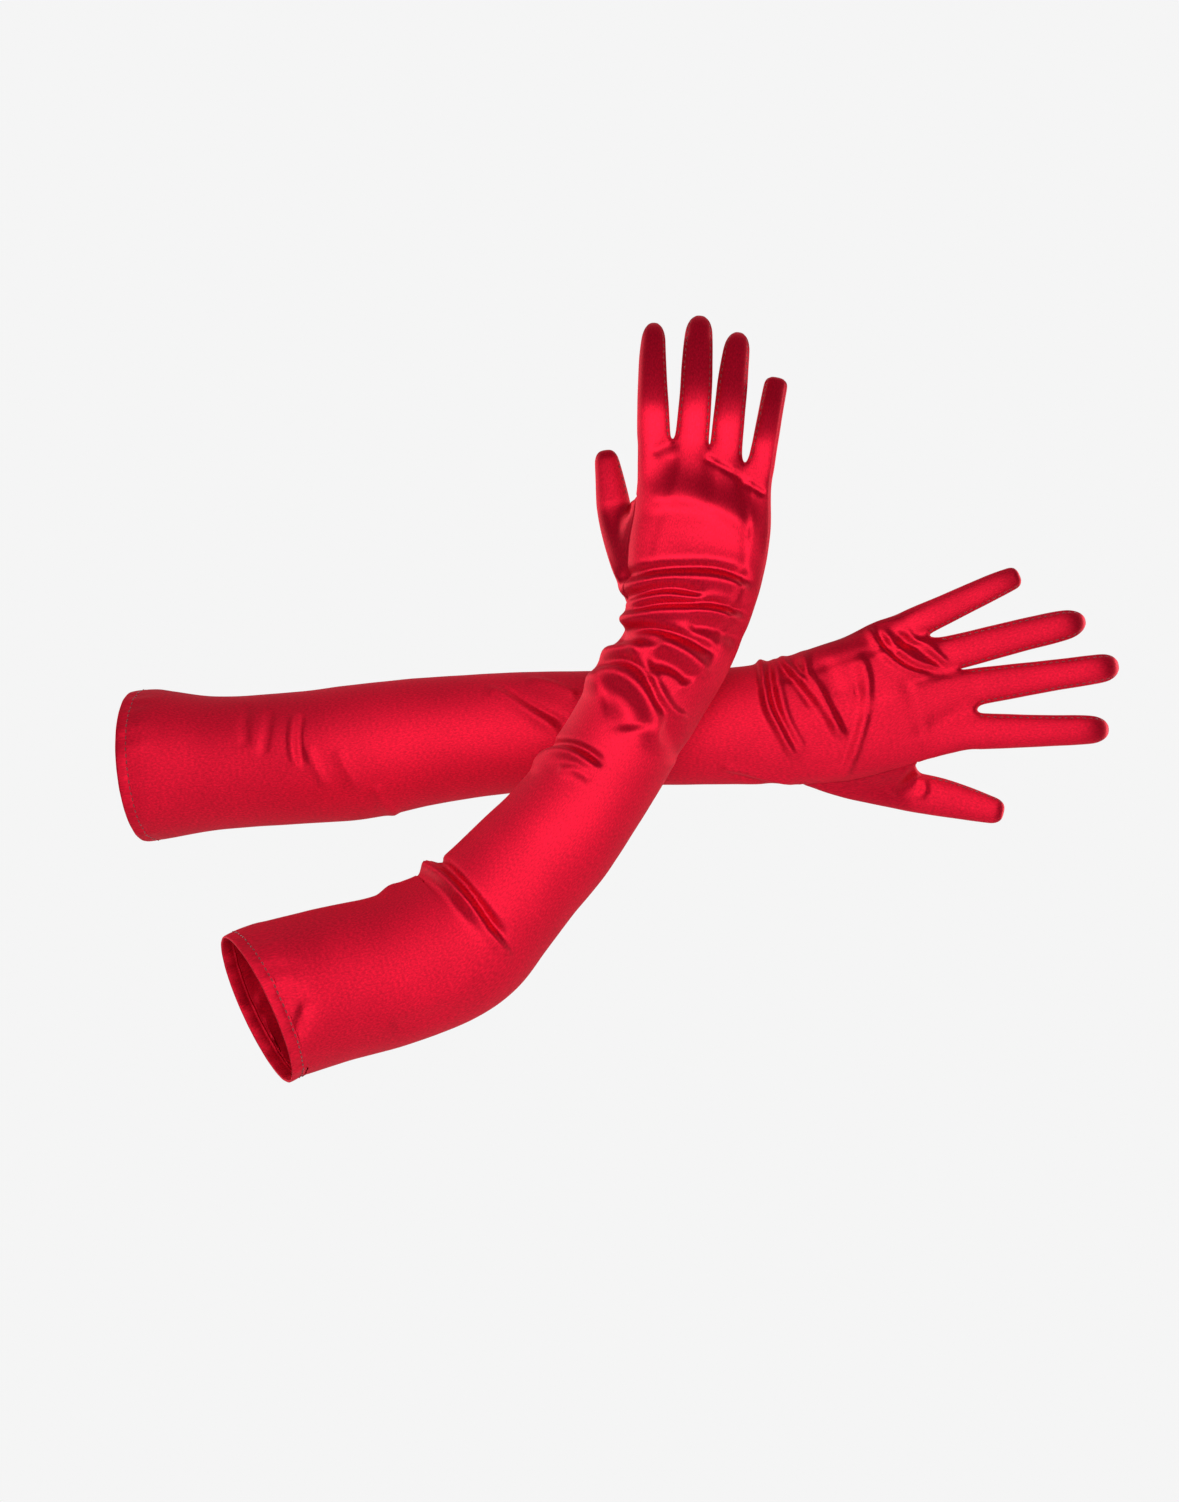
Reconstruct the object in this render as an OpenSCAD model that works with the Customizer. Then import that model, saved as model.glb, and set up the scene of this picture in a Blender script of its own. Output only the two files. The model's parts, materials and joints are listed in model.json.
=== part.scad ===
// A pair of elbow-length satin opera gloves, held as two crossed arms wear them.
// Right glove in front, left glove behind. X runs right, Y away from the viewer, Z up.
// The origin is the centre of the right glove's cuff.

/* [Cuffs] */
// Inside radius of each cuff's hem
cuff_r = 41; // [40:0.25:42]
// Width of the turned hem along the sleeve
hem_w = 8; // [6:0.5:10]
// Thickness of the hem, two layers of satin
hem_t = 1.2; // [0.8:0.1:1.2]
// Thickness of the hem's sewing thread
thread_d = 0.6; // [0.4:0.1:0.8]

/* [Cloth] */
// Thickness of a single layer of satin
cloth_t = 0.6; // [0.4:0.1:0.8]
// Gap along a seam between two cut pieces
seam_gap = 0.3; // [0.2:0.1:0.5]

/* [Bends] */
// Sleeve left loose in the crook of the right elbow, each way from the joint
right_crook = 52; // [46:1:58]
// Sleeve left loose in the crook of the left elbow, each way from the joint
left_crook = 50; // [46:1:56]
// Sleeve left loose on the palm side of a wrist, each way from the joint
wrist_give = 15; // [13:1:18]
// Cloth left loose under a finger's root, each way from its joint
finger_give = 9.5; // [9:0.25:10]

/* [Hidden] */
sleeve_pieces = ["hem_band", "hem_stitching", "upper_sleeve_back", "upper_sleeve_palm_side",
    "elbow_back", "elbow_palm_side", "forearm_back", "forearm_palm_side"];
hand_pieces = ["wrist_back", "wrist_palm_side", "hand_back", "palm", "finger_roots",
    "thumb_gore", "thumb_back", "thumb_front"];
fingers = ["index", "middle", "ring", "little"];
finger_pieces = [for (f = fingers, part = ["back", "front", "fourchette"]) str(f, "_", part)];
NODES = [for (glove = ["right", "left"], piece = concat(sleeve_pieces, hand_pieces, finger_pieces))
    str(glove, "_", piece)];
node = "all";

satin = [0.80, 0.05, 0.14];
satin_dark = [0.55, 0.02, 0.08];
thread_red = [0.42, 0.01, 0.06];
rim_r = cuff_r + hem_t;

// A station is [x, y, z, half width, half depth], from the cuff to the knuckles.
// The first four stations of a sleeve lie on the axis of its hem.
right_axis = [0.8754, 0.2756, 0.3971];
right_sleeve = [
    [0, 0, 0, rim_r, rim_r],
    concat(8 * right_axis, [rim_r, rim_r]),
    concat(10 * right_axis, [rim_r, rim_r]),
    concat(12 * right_axis, [rim_r, rim_r]),
    [38.5, 13, 12.5, 41.2, 40],
    [73, 24, 20.8, 40.4, 38.5],
    [105, 31, 34.8, 40, 37.5],
    [122.5, 34.5, 52.5, 37.6, 36],
    [140, 37, 72, 35.4, 34],
    [158, 38, 91.5, 33.7, 32],
    [185, 41, 129, 31, 29],
    [208.5, 43, 169.5, 31, 27],
    [221.5, 44, 190.5, 30.6, 25],
    [227.5, 45, 210.5, 33.4, 22],
    [231, 45, 227.5, 36, 19.5],
    [233.5, 46, 243, 37.4, 17.5],
    [236, 46, 257, 37.4, 15.6],
    [237, 46, 271, 36.8, 13.8],
    [238.3, 46, 286, 37, 12],
    [238.5, 46, 302, 37.4, 10.4]
];
left_cuff = [-76.5, 146, 127.4];
left_axis = [0.9736, -0.2079, 0.0938];
left_sleeve = [
    concat(left_cuff, [rim_r, rim_r]),
    concat(left_cuff + 8 * left_axis, [rim_r, rim_r]),
    concat(left_cuff + 10 * left_axis, [rim_r, rim_r]),
    concat(left_cuff + 12 * left_axis, [rim_r - 0.4, rim_r - 0.2]),
    [-29.5, 136, 129.6, 37, 37],
    [15.5, 128.5, 132.5, 36.8, 36],
    [40, 126, 134.8, 37.5, 35.5],
    [60, 125, 137.6, 36.9, 34.5],
    [82.5, 124, 141.2, 35.5, 33],
    [127, 122, 146, 33.5, 31],
    [181, 120, 148.6, 32, 28.5],
    [235, 118.5, 149.3, 31.7, 26],
    [262, 118, 150.4, 32.8, 24.5],
    [279, 117.5, 151.8, 34.5, 23],
    [292, 117, 153.6, 36, 21.5],
    [310, 117, 157, 38.2, 19],
    [327, 117, 161.5, 39, 17],
    [344, 117, 166.6, 39.6, 15],
    [360, 117, 170.6, 39.4, 12.5],
    [386, 117, 175.2, 39.2, 10.2]
];

// Station of each sleeve at its elbow and at its wrist
elbows = [6, 6];
wrists = [13, 14];

// A finger is [root, middle, tip], and then how far its root slants across the hand
right_fingers = [
    [[209.4, 46, 300, 8.9, 8], [209, 49, 334, 7.9, 7.4], [209, 60, 367, 6.2, 6.2], -1],
    [[230, 46, 300.5, 8.9, 8], [232, 49, 336, 8.2, 7.4], [234.2, 61, 371, 6.8, 6.2], 1.5],
    [[248.4, 46, 294.5, 8.6, 8], [251, 49, 329, 8.1, 7.2], [254.6, 60, 362, 6.6, 6.2], 4],
    [[266.4, 46, 285, 7.7, 7.3], [271, 48, 311, 7, 6.6], [276.6, 57, 337, 5.6, 5.4], 5]
];
left_fingers = [
    [[386, 117, 147, 10, 8.4], [424, 118, 147.6, 8.3, 7.4], [463, 126, 148.2, 6.8, 6.2], -1],
    [[385, 117, 171.2, 10.2, 8.4], [426, 118, 177, 8.4, 7.4], [468.5, 127, 183.4, 7, 6.2], 1.5],
    [[372, 117, 189.3, 9.5, 8.2], [410, 118, 198.6, 8.7, 7.4], [450, 126, 208, 7, 6.2], 4],
    [[352, 117, 205.6, 8.8, 7.6], [382, 118, 220, 7.4, 6.8], [413, 124, 234, 5.8, 5.4], 7]
];
right_thumb = [[190.5, 64, 234, 9.6, 9], [188.5, 65, 256, 9.8, 9.4], [186, 66, 278, 8.6, 8],
    [182.5, 69, 301, 6, 6]];
left_thumb = [[322, 133, 117, 9.8, 9], [343, 134.5, 114.5, 10.4, 9.6], [372, 136, 108.5, 9.4, 8.4],
    [406, 138, 99.5, 6.4, 6]];

// The two gloves, right then left
names = ["right", "left"];
hands = [1, -1];
sleeves = [right_sleeve, left_sleeve];
cuffs = [[0, 0, 0], left_cuff];
axes = [right_axis, left_axis];
digits = [right_fingers, left_fingers];
thumbs = [right_thumb, left_thumb];
crooks = [right_crook, left_crook];
// The line of the knuckles: distance short of the sleeve's last station, curve and middle
knuckles = [[2.5, 9.5, 0.5], [4.4, 18.8, 0.2]];

thumb_cut = 24;       // where the moving thumb starts, along the thumb's line
thumb_give = 3;       // cloth left loose each way round the thumb's joint
thumb_open = 45;      // angle that the thumb's opening takes out of the palm
thumb_faces = [-100, 160]; // edges of the gore, which is open towards the hand
elbow_ease = [8, 3];  // cloth left loose at each elbow's sides
elbow_points = [9, 0]; // cloth left loose as well over each elbow's point
ease = 3;             // cloth left loose at a wrist's sides
root_gap = 2.5;       // gap across the back of a finger's root
sleeve_round = 2;     // how square a section is: 2 is an ellipse
hand_round = 2.4;
finger_round = 2.6;
tip_cap = 11;         // length of a fingertip's rounded end
strip_q = 36;         // half the angle that a side strip takes of a finger's section
stitch_inset = 1.6;   // from the hem's inner edge to its row of stitches
touch = 0.05;         // clearance under a thread

function mix(a, b, t) = a + (b - a) * t;
function unit(v) = v / norm(v);
function place(p) = [p[0], p[1], p[2]];
function power(x, e) = sign(x) * pow(abs(x), e);

// Distance along a row of stations to each of them
function runs(st) = [for (i = 0, d = 0; i < len(st); i = i + 1,
    d = d + (i < len(st) ? norm(place(st[i]) - place(st[i - 1])) : 0)) d];
function slope(st, ds, i) = let (a = max(i - 1, 0), b = min(i + 1, len(st) - 1))
    (st[b] - st[a]) / (ds[b] - ds[a]);

// The station at distance s, on a smooth curve through them all
function at(st, ds, s) = let (
    i = max([for (k = [0 : len(st) - 2]) if (k == 0 || ds[k] <= s) k]),
    h = ds[i + 1] - ds[i], t = (s - ds[i]) / h)
    (1 + 2 * t) * (1 - t) * (1 - t) * st[i] + t * (1 - t) * (1 - t) * h * slope(st, ds, i)
    + t * t * (3 - 2 * t) * st[i + 1] + t * t * (t - 1) * h * slope(st, ds, i + 1);

// A point of the cloth: angle 0 is the thumb's side, 90 the palm's, 180 the little finger's.
// cap is the length of a closed round end, or 0 on a sleeve.
function skin(st, hand, squareness, cap, s, q, inset) = let (
    ds = runs(st), total = ds[len(ds) - 1],
    along = cap > 0 ? s * (total - inset) / total : s,
    p = at(st, ds, along),
    heading = unit(place(at(st, ds, along + 0.5)) - place(at(st, ds, along - 0.5))),
    side = hand * unit(cross(heading, [0, 1, 0])),
    deep = hand * cross(side, heading),
    over = cap > 0 ? max(0, (along - (total - inset - cap)) / cap) : 0,
    dome = sqrt(max(0, 1 - over * over)),
    w = max((p[3] - inset) * dome, 0.05), d = max((p[4] - inset) * dome, 0.05))
    place(p) + side * w * power(cos(q), 2 / squareness) + deep * d * power(sin(q), 2 / squareness);

// One cut piece of cloth. from and to give where its ends lie at each angle, and low and high
// the angles of its two edges along its length. crowd above 1 packs the rows towards its end.
module panel(st, hand, squareness, cap, low, high, from, to, steps, across, crowd = 1) {
    function grid(inset) = [for (i = [0 : steps], j = [0 : across]) let (
        v = 1 - pow(1 - i / steps, crowd), w = j / across,
        s = mix(from(mix(low(0), high(0), w)), to(mix(low(1), high(1), w)), v))
        skin(st, hand, squareness, cap, s, mix(low(v), high(v), w), inset)];
    row = across + 1;
    n = (steps + 1) * row;
    quads = concat(
        [for (i = [0 : steps - 1], j = [0 : across - 1])
            [i * row + j, (i + 1) * row + j, (i + 1) * row + j + 1, i * row + j + 1]],
        [for (i = [0 : steps - 1], j = [0 : across - 1])
            [n + i * row + j, n + i * row + j + 1, n + (i + 1) * row + j + 1, n + (i + 1) * row + j]],
        [for (i = [0 : steps - 1]) [i * row, n + i * row, n + (i + 1) * row, (i + 1) * row]],
        [for (i = [0 : steps - 1])
            [i * row + across, (i + 1) * row + across, n + (i + 1) * row + across, n + i * row + across]],
        [for (j = [0 : across - 1]) [j, j + 1, n + j + 1, n + j]],
        [for (j = [0 : across - 1])
            [n - row + j, 2 * n - row + j, 2 * n - row + j + 1, n - row + j + 1]]);
    faces = [for (f = quads, half = [[0, 1, 2], [0, 2, 3]])
        hand < 0 ? [for (k = half) f[k]] : [for (k = [2, 1, 0]) f[half[k]]]];
    polyhedron(concat(grid(0), grid(cloth_t)), faces, convexity = 10);
}

function length_of(st) = let (ds = runs(st)) ds[len(ds) - 1];
function elbow_s(g) = runs(sleeves[g])[elbows[g]];
function wrist_s(g) = runs(sleeves[g])[wrists[g]];
function elbow_loose(g, q) = elbow_ease[g] + (crooks[g] - elbow_ease[g]) * max(0, cos(q))
    + elbow_points[g] * max(0, -cos(q));
function wrist_loose(q) = ease + (wrist_give - ease) * abs(sin(q));
function knuckle_s(g, q) = let (k = knuckles[g])
    length_of(sleeves[g]) - k[0] - k[1] * pow(k[2] - cos(q), 2);
function finger(g, f) = [digits[g][f][0], digits[g][f][1], digits[g][f][2]];
function root_s(g, f, q) = digits[g][f][3] * cos(q);

// A half of the sleeve between two cuts: the back lies at angles 180 to 360
module sleeve_half(g, back, from, to, steps, across, squareness = sleeve_round) {
    gap = seam_gap / rim_r * 90 / PI;
    edge = back ? 180 : 0;
    panel(sleeves[g], hands[g], squareness, 0, function(v) edge + gap, function(v) edge + 180 - gap,
        from, to, steps, across);
}

module hem_band(g) color(satin)
    translate(cuffs[g]) rotate([0, acos(axes[g][2]), atan2(axes[g][1], axes[g][0])]) difference() {
        cylinder(h = hem_w, r = rim_r, $fn = 96);
        translate([0, 0, -1]) cylinder(h = hem_w + 2, r = cuff_r, $fn = 96);
    }

module hem_stitching(g) color(thread_red)
    translate(cuffs[g]) rotate([0, acos(axes[g][2]), atan2(axes[g][1], axes[g][0])])
        translate([0, 0, hem_w - stitch_inset]) rotate_extrude($fn = 96)
            translate([rim_r + thread_d / 2 + touch, 0]) circle(d = thread_d, $fn = 16);

module upper_sleeve(g, back) color(satin)
    sleeve_half(g, back, function(q) hem_w + seam_gap, function(q) elbow_s(g) - elbow_loose(g, q),
        6, 9);

module elbow(g, back) color(satin_dark)
    sleeve_half(g, back, function(q) elbow_s(g) - elbow_loose(g, q) + seam_gap,
        function(q) elbow_s(g) + elbow_loose(g, q) - seam_gap, 7, 9);

module forearm(g, back) color(satin)
    sleeve_half(g, back, function(q) elbow_s(g) + elbow_loose(g, q),
        function(q) wrist_s(g) - wrist_loose(q), 9, 9);

module wrist(g, back) color(satin_dark)
    sleeve_half(g, back, function(q) wrist_s(g) - wrist_loose(q) + seam_gap,
        function(q) wrist_s(g) + wrist_loose(q) - seam_gap, 5, 9);

module hand_back(g) color(satin)
    sleeve_half(g, true, function(q) wrist_s(g) + wrist_loose(q) + seam_gap,
        function(q) knuckle_s(g, q), 6, 10, hand_round);

// The palm leaves an opening at its thumb side for the gore
module palm(g) color(satin)
    panel(sleeves[g], hands[g], hand_round, 0,
        function(v) 1 + thumb_open * max(0, 1 - pow((v - 0.36) / 0.3, 2)), function(v) 179,
        function(q) wrist_s(g) + wrist_loose(q) + seam_gap,
        function(q) knuckle_s(g, q) - finger_give, 8, 9);

// The cloth that folds under each finger's root, one strip for each finger
module finger_roots(g) color(satin_dark)
    for (f = [0 : 3])
        panel(finger(g, f), hands[g], finger_round, 0, function(v) strip_q + 6,
            function(v) 174 - strip_q,
            function(q) root_s(g, f, q) + seam_gap - finger_give / 2,
            function(q) root_s(g, f, q) + finger_give - 1.5 - seam_gap, 3, 3);

module thumb_gore(g) color(satin_dark)
    panel(thumbs[g], hands[g], sleeve_round, 0, function(v) thumb_faces[0],
        function(v) thumb_faces[1], function(q) 2,
        function(q) thumb_cut - thumb_give, 4, 8);

module thumb_half(g, back) color(satin)
    panel(thumbs[g], hands[g], finger_round, tip_cap, function(v) back ? 181 : 1,
        function(v) back ? 359 : 179, function(q) thumb_cut + thumb_give,
        function(q) length_of(thumbs[g]), 8, 6, 1.4);

// The back or the palm side of a finger, or with_strips, its long side strips.
// The index has no strip at the thumb's side and the little finger none at its outer side.
module finger_face(g, f, back) {
    inner = f == 0 ? 1 : strip_q;
    outer = f == 3 ? 179 : 180 - strip_q;
    gap = 1;
    panel(finger(g, f), hands[g], finger_round, tip_cap,
        function(v) back ? 360 - outer + gap : inner + gap,
        function(v) back ? 360 - inner - gap : outer - gap,
        function(q) root_s(g, f, q) + (back ? root_gap : finger_give - 1.5),
        function(q) length_of(finger(g, f)), 8, 4, 1.5);
}

module finger_back(g, f) color(satin) finger_face(g, f, true);

module finger_front(g, f) color(satin) finger_face(g, f, false);

module fourchette(g, f) color(satin_dark) {
    if (f > 0) fourchette_strip(g, f, 0);
    if (f < 3) fourchette_strip(g, f, 180);
}

module fourchette_strip(g, f, middle)
    panel(finger(g, f), hands[g], finger_round, tip_cap, function(v) middle - strip_q,
        function(v) middle + strip_q,
        function(q) root_s(g, f, q) + (root_gap + finger_give) / 2 + 3 * sin(q),
        function(q) length_of(finger(g, f)) - tip_cap * 0.1, 7, 2, 1.5);

function wanted(g, piece) = node == "all" || node == str(names[g], "_", piece);

for (g = [0, 1]) {
    if (wanted(g, "hem_band")) hem_band(g);
    if (wanted(g, "hem_stitching")) hem_stitching(g);
    if (wanted(g, "upper_sleeve_back")) upper_sleeve(g, true);
    if (wanted(g, "upper_sleeve_palm_side")) upper_sleeve(g, false);
    if (wanted(g, "elbow_back")) elbow(g, true);
    if (wanted(g, "elbow_palm_side")) elbow(g, false);
    if (wanted(g, "forearm_back")) forearm(g, true);
    if (wanted(g, "forearm_palm_side")) forearm(g, false);
    if (wanted(g, "wrist_back")) wrist(g, true);
    if (wanted(g, "wrist_palm_side")) wrist(g, false);
    if (wanted(g, "hand_back")) hand_back(g);
    if (wanted(g, "palm")) palm(g);
    if (wanted(g, "finger_roots")) finger_roots(g);
    if (wanted(g, "thumb_gore")) thumb_gore(g);
    if (wanted(g, "thumb_back")) thumb_half(g, true);
    if (wanted(g, "thumb_front")) thumb_half(g, false);
    for (f = [0 : 3]) {
        if (wanted(g, str(fingers[f], "_back"))) finger_back(g, f);
        if (wanted(g, str(fingers[f], "_front"))) finger_front(g, f);
        if (wanted(g, str(fingers[f], "_fourchette"))) fourchette(g, f);
    }
}
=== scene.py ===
"""A pair of elbow-length satin opera gloves, as two crossed arms wear them."""

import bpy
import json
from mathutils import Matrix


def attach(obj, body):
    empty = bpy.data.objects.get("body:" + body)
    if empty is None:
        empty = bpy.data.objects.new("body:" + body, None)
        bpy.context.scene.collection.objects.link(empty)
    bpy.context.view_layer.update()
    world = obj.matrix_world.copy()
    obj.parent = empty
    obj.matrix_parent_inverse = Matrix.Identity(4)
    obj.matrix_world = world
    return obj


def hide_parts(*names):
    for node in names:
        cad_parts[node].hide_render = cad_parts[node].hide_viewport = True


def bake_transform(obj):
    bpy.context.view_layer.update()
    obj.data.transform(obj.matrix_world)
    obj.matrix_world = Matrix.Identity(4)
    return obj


bl_info = {
    "name": "Satin opera gloves",
    "version": (1, 0, 0),
    "blender": (4, 5, 0),
    "location": "View3D > Sidebar > Opera gloves",
    "description": "Makes the satin, hems, seams and stitches of a pair of opera gloves",
    "category": "Add Mesh",
}

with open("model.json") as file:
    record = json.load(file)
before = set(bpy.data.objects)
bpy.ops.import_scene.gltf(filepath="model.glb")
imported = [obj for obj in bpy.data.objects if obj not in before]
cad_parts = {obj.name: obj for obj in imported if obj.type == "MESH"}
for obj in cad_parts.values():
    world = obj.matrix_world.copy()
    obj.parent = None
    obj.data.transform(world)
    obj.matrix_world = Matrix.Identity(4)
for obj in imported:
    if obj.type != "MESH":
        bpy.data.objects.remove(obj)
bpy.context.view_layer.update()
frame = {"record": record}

import json
import math

import bpy
import numpy as np
from mathutils import Vector

MM = 0.001
FINGERS = ("index", "middle", "ring", "little")
DIGITS = FINGERS + ("thumb",)
HAND = {"right": 1, "left": -1}
CUFF = {m["name"].split("_")[0]: m for m in frame["record"]["mounts"]}
CUFF_R = CUFF["right"]["dims"]["r_mm"]
HEM_T = 1.2
RIM_R = CUFF_R + HEM_T
SATIN_RED = "e01033"
THREAD_RED = "80051a"
BOARD = "f2f2f2"
BACKDROP = "f5f5f5"

# ---------------------------------------------------------------- the form of the gloves
# A station is [x, y, z, half width, half depth] in millimetres, from the cuff to the knuckles.
# The first four lie on the axis of the hem.
SLEEVE = {
    "right": [
        [38.5, 13, 12.5, 41.2, 40], [73, 24, 20.8, 40.4, 38.5], [105, 31, 34.8, 40, 37.5],
        [122.5, 34.5, 52.5, 37.6, 36], [140, 37, 72, 35.4, 34], [158, 38, 91.5, 33.7, 32],
        [185, 41, 129, 31, 29], [208.5, 43, 169.5, 31, 27], [221.5, 44, 190.5, 30.6, 25],
        [227.5, 45, 210.5, 33.4, 22], [231, 45, 227.5, 36, 19.5], [233.5, 46, 243, 37.4, 17.5],
        [236, 46, 257, 37.4, 15.6], [237, 46, 271, 36.8, 13.8], [238.3, 46, 286, 37, 12],
        [238.5, 46, 302, 37.4, 10.4]],
    "left": [
        [-29.5, 136, 129.6, 37, 37], [15.5, 128.5, 132.5, 36.8, 36], [40, 126, 134.8, 37.5, 35.5],
        [60, 125, 137.6, 36.9, 34.5], [82.5, 124, 141.2, 35.5, 33], [127, 122, 146, 33.5, 31],
        [181, 120, 148.6, 32, 28.5], [235, 118.5, 149.3, 31.7, 26], [262, 118, 150.4, 32.8, 24.5],
        [279, 117.5, 151.8, 34.5, 23], [292, 117, 153.6, 36, 21.5], [310, 117, 157, 38.2, 19],
        [327, 117, 161.5, 39, 17], [344, 117, 166.6, 39.6, 15], [360, 117, 170.6, 39.4, 12.5],
        [386, 117, 175.2, 39.2, 10.2]]}
HEM_STATIONS = (0, 8, 10, 12)
WRIST_STATION = {"right": 13, "left": 14}
# A finger is four stations from root to tip, and then how far its root slants across the hand
FINGER_LINES = {
    "right": [
        ([[209.8, 46, 300, 9.2, 8], [209.4, 46.5, 322, 8.6, 7.6], [209.2, 54, 346, 7.4, 7],
          [210.2, 63, 367, 5.9, 6]], -1),
        ([[230, 46, 300.5, 9.2, 8], [232, 46.5, 324, 8.9, 7.6], [233.5, 54.5, 349, 8.3, 7],
          [235, 64, 371, 6.8, 6]], 1.5),
        ([[248.2, 46, 294.5, 8.9, 8], [250.3, 46.5, 317, 8.5, 7.4], [253, 54, 341, 8, 6.8],
          [256, 63, 362, 6.6, 6]], 4),
        ([[266.4, 46, 285, 7.7, 7.3], [269.6, 46.5, 302, 7.1, 6.8], [273, 52, 320, 6.6, 6.2],
          [276.4, 60, 336.5, 6.4, 5.2]], 5)],
    "left": [
        ([[386, 117, 147, 10.4, 8.4], [424, 118, 147.4, 8.9, 7.4], [450, 122, 147.9, 8.2, 6.8],
          [463, 126.5, 148, 7, 6]], -1),
        ([[385, 117, 171.2, 10.6, 8.4], [426, 118, 177.2, 9, 7.4], [455, 122.5, 181.4, 8.2, 6.8],
          [468.5, 127.5, 183.8, 7.4, 6]], 1.5),
        ([[372, 117, 189.4, 10, 8.2], [410, 118, 199.2, 9.2, 7.4], [437, 122, 205.6, 8.4, 6.8],
          [450, 126, 208.6, 6.6, 6]], 4),
        ([[352, 117, 205.2, 9, 7.6], [382, 118, 219.2, 7.9, 6.8], [402, 121.5, 228.6, 7, 6.2],
          [413, 124.5, 233.4, 6, 5.4]], 7)]}
THUMB_LINES = {
    "right": [[190.5, 64, 234, 9.6, 9], [189.5, 65, 256, 9.8, 9.4], [187.6, 66, 274, 8.9, 8],
              [183.8, 69, 299, 5.9, 5.8]],
    "left": [[322, 133, 117, 9.8, 9], [343, 134.5, 115, 11, 9.6],
             [372, 136, 110.2, 10.6, 8.4], [406, 138, 101.6, 6.6, 6]]}
WEB_DROP = {"right": (1, 1, 5), "left": (0, 3, 5)}    # how far each web sits down the hand
THUMB_WEB = {"right": 271, "left": 357}  # height, or reach, of the crotch of each thumb
THUMB_FREE = {"right": 36.0, "left": 38.0}    # how far along its line a thumb leaves the hand

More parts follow.
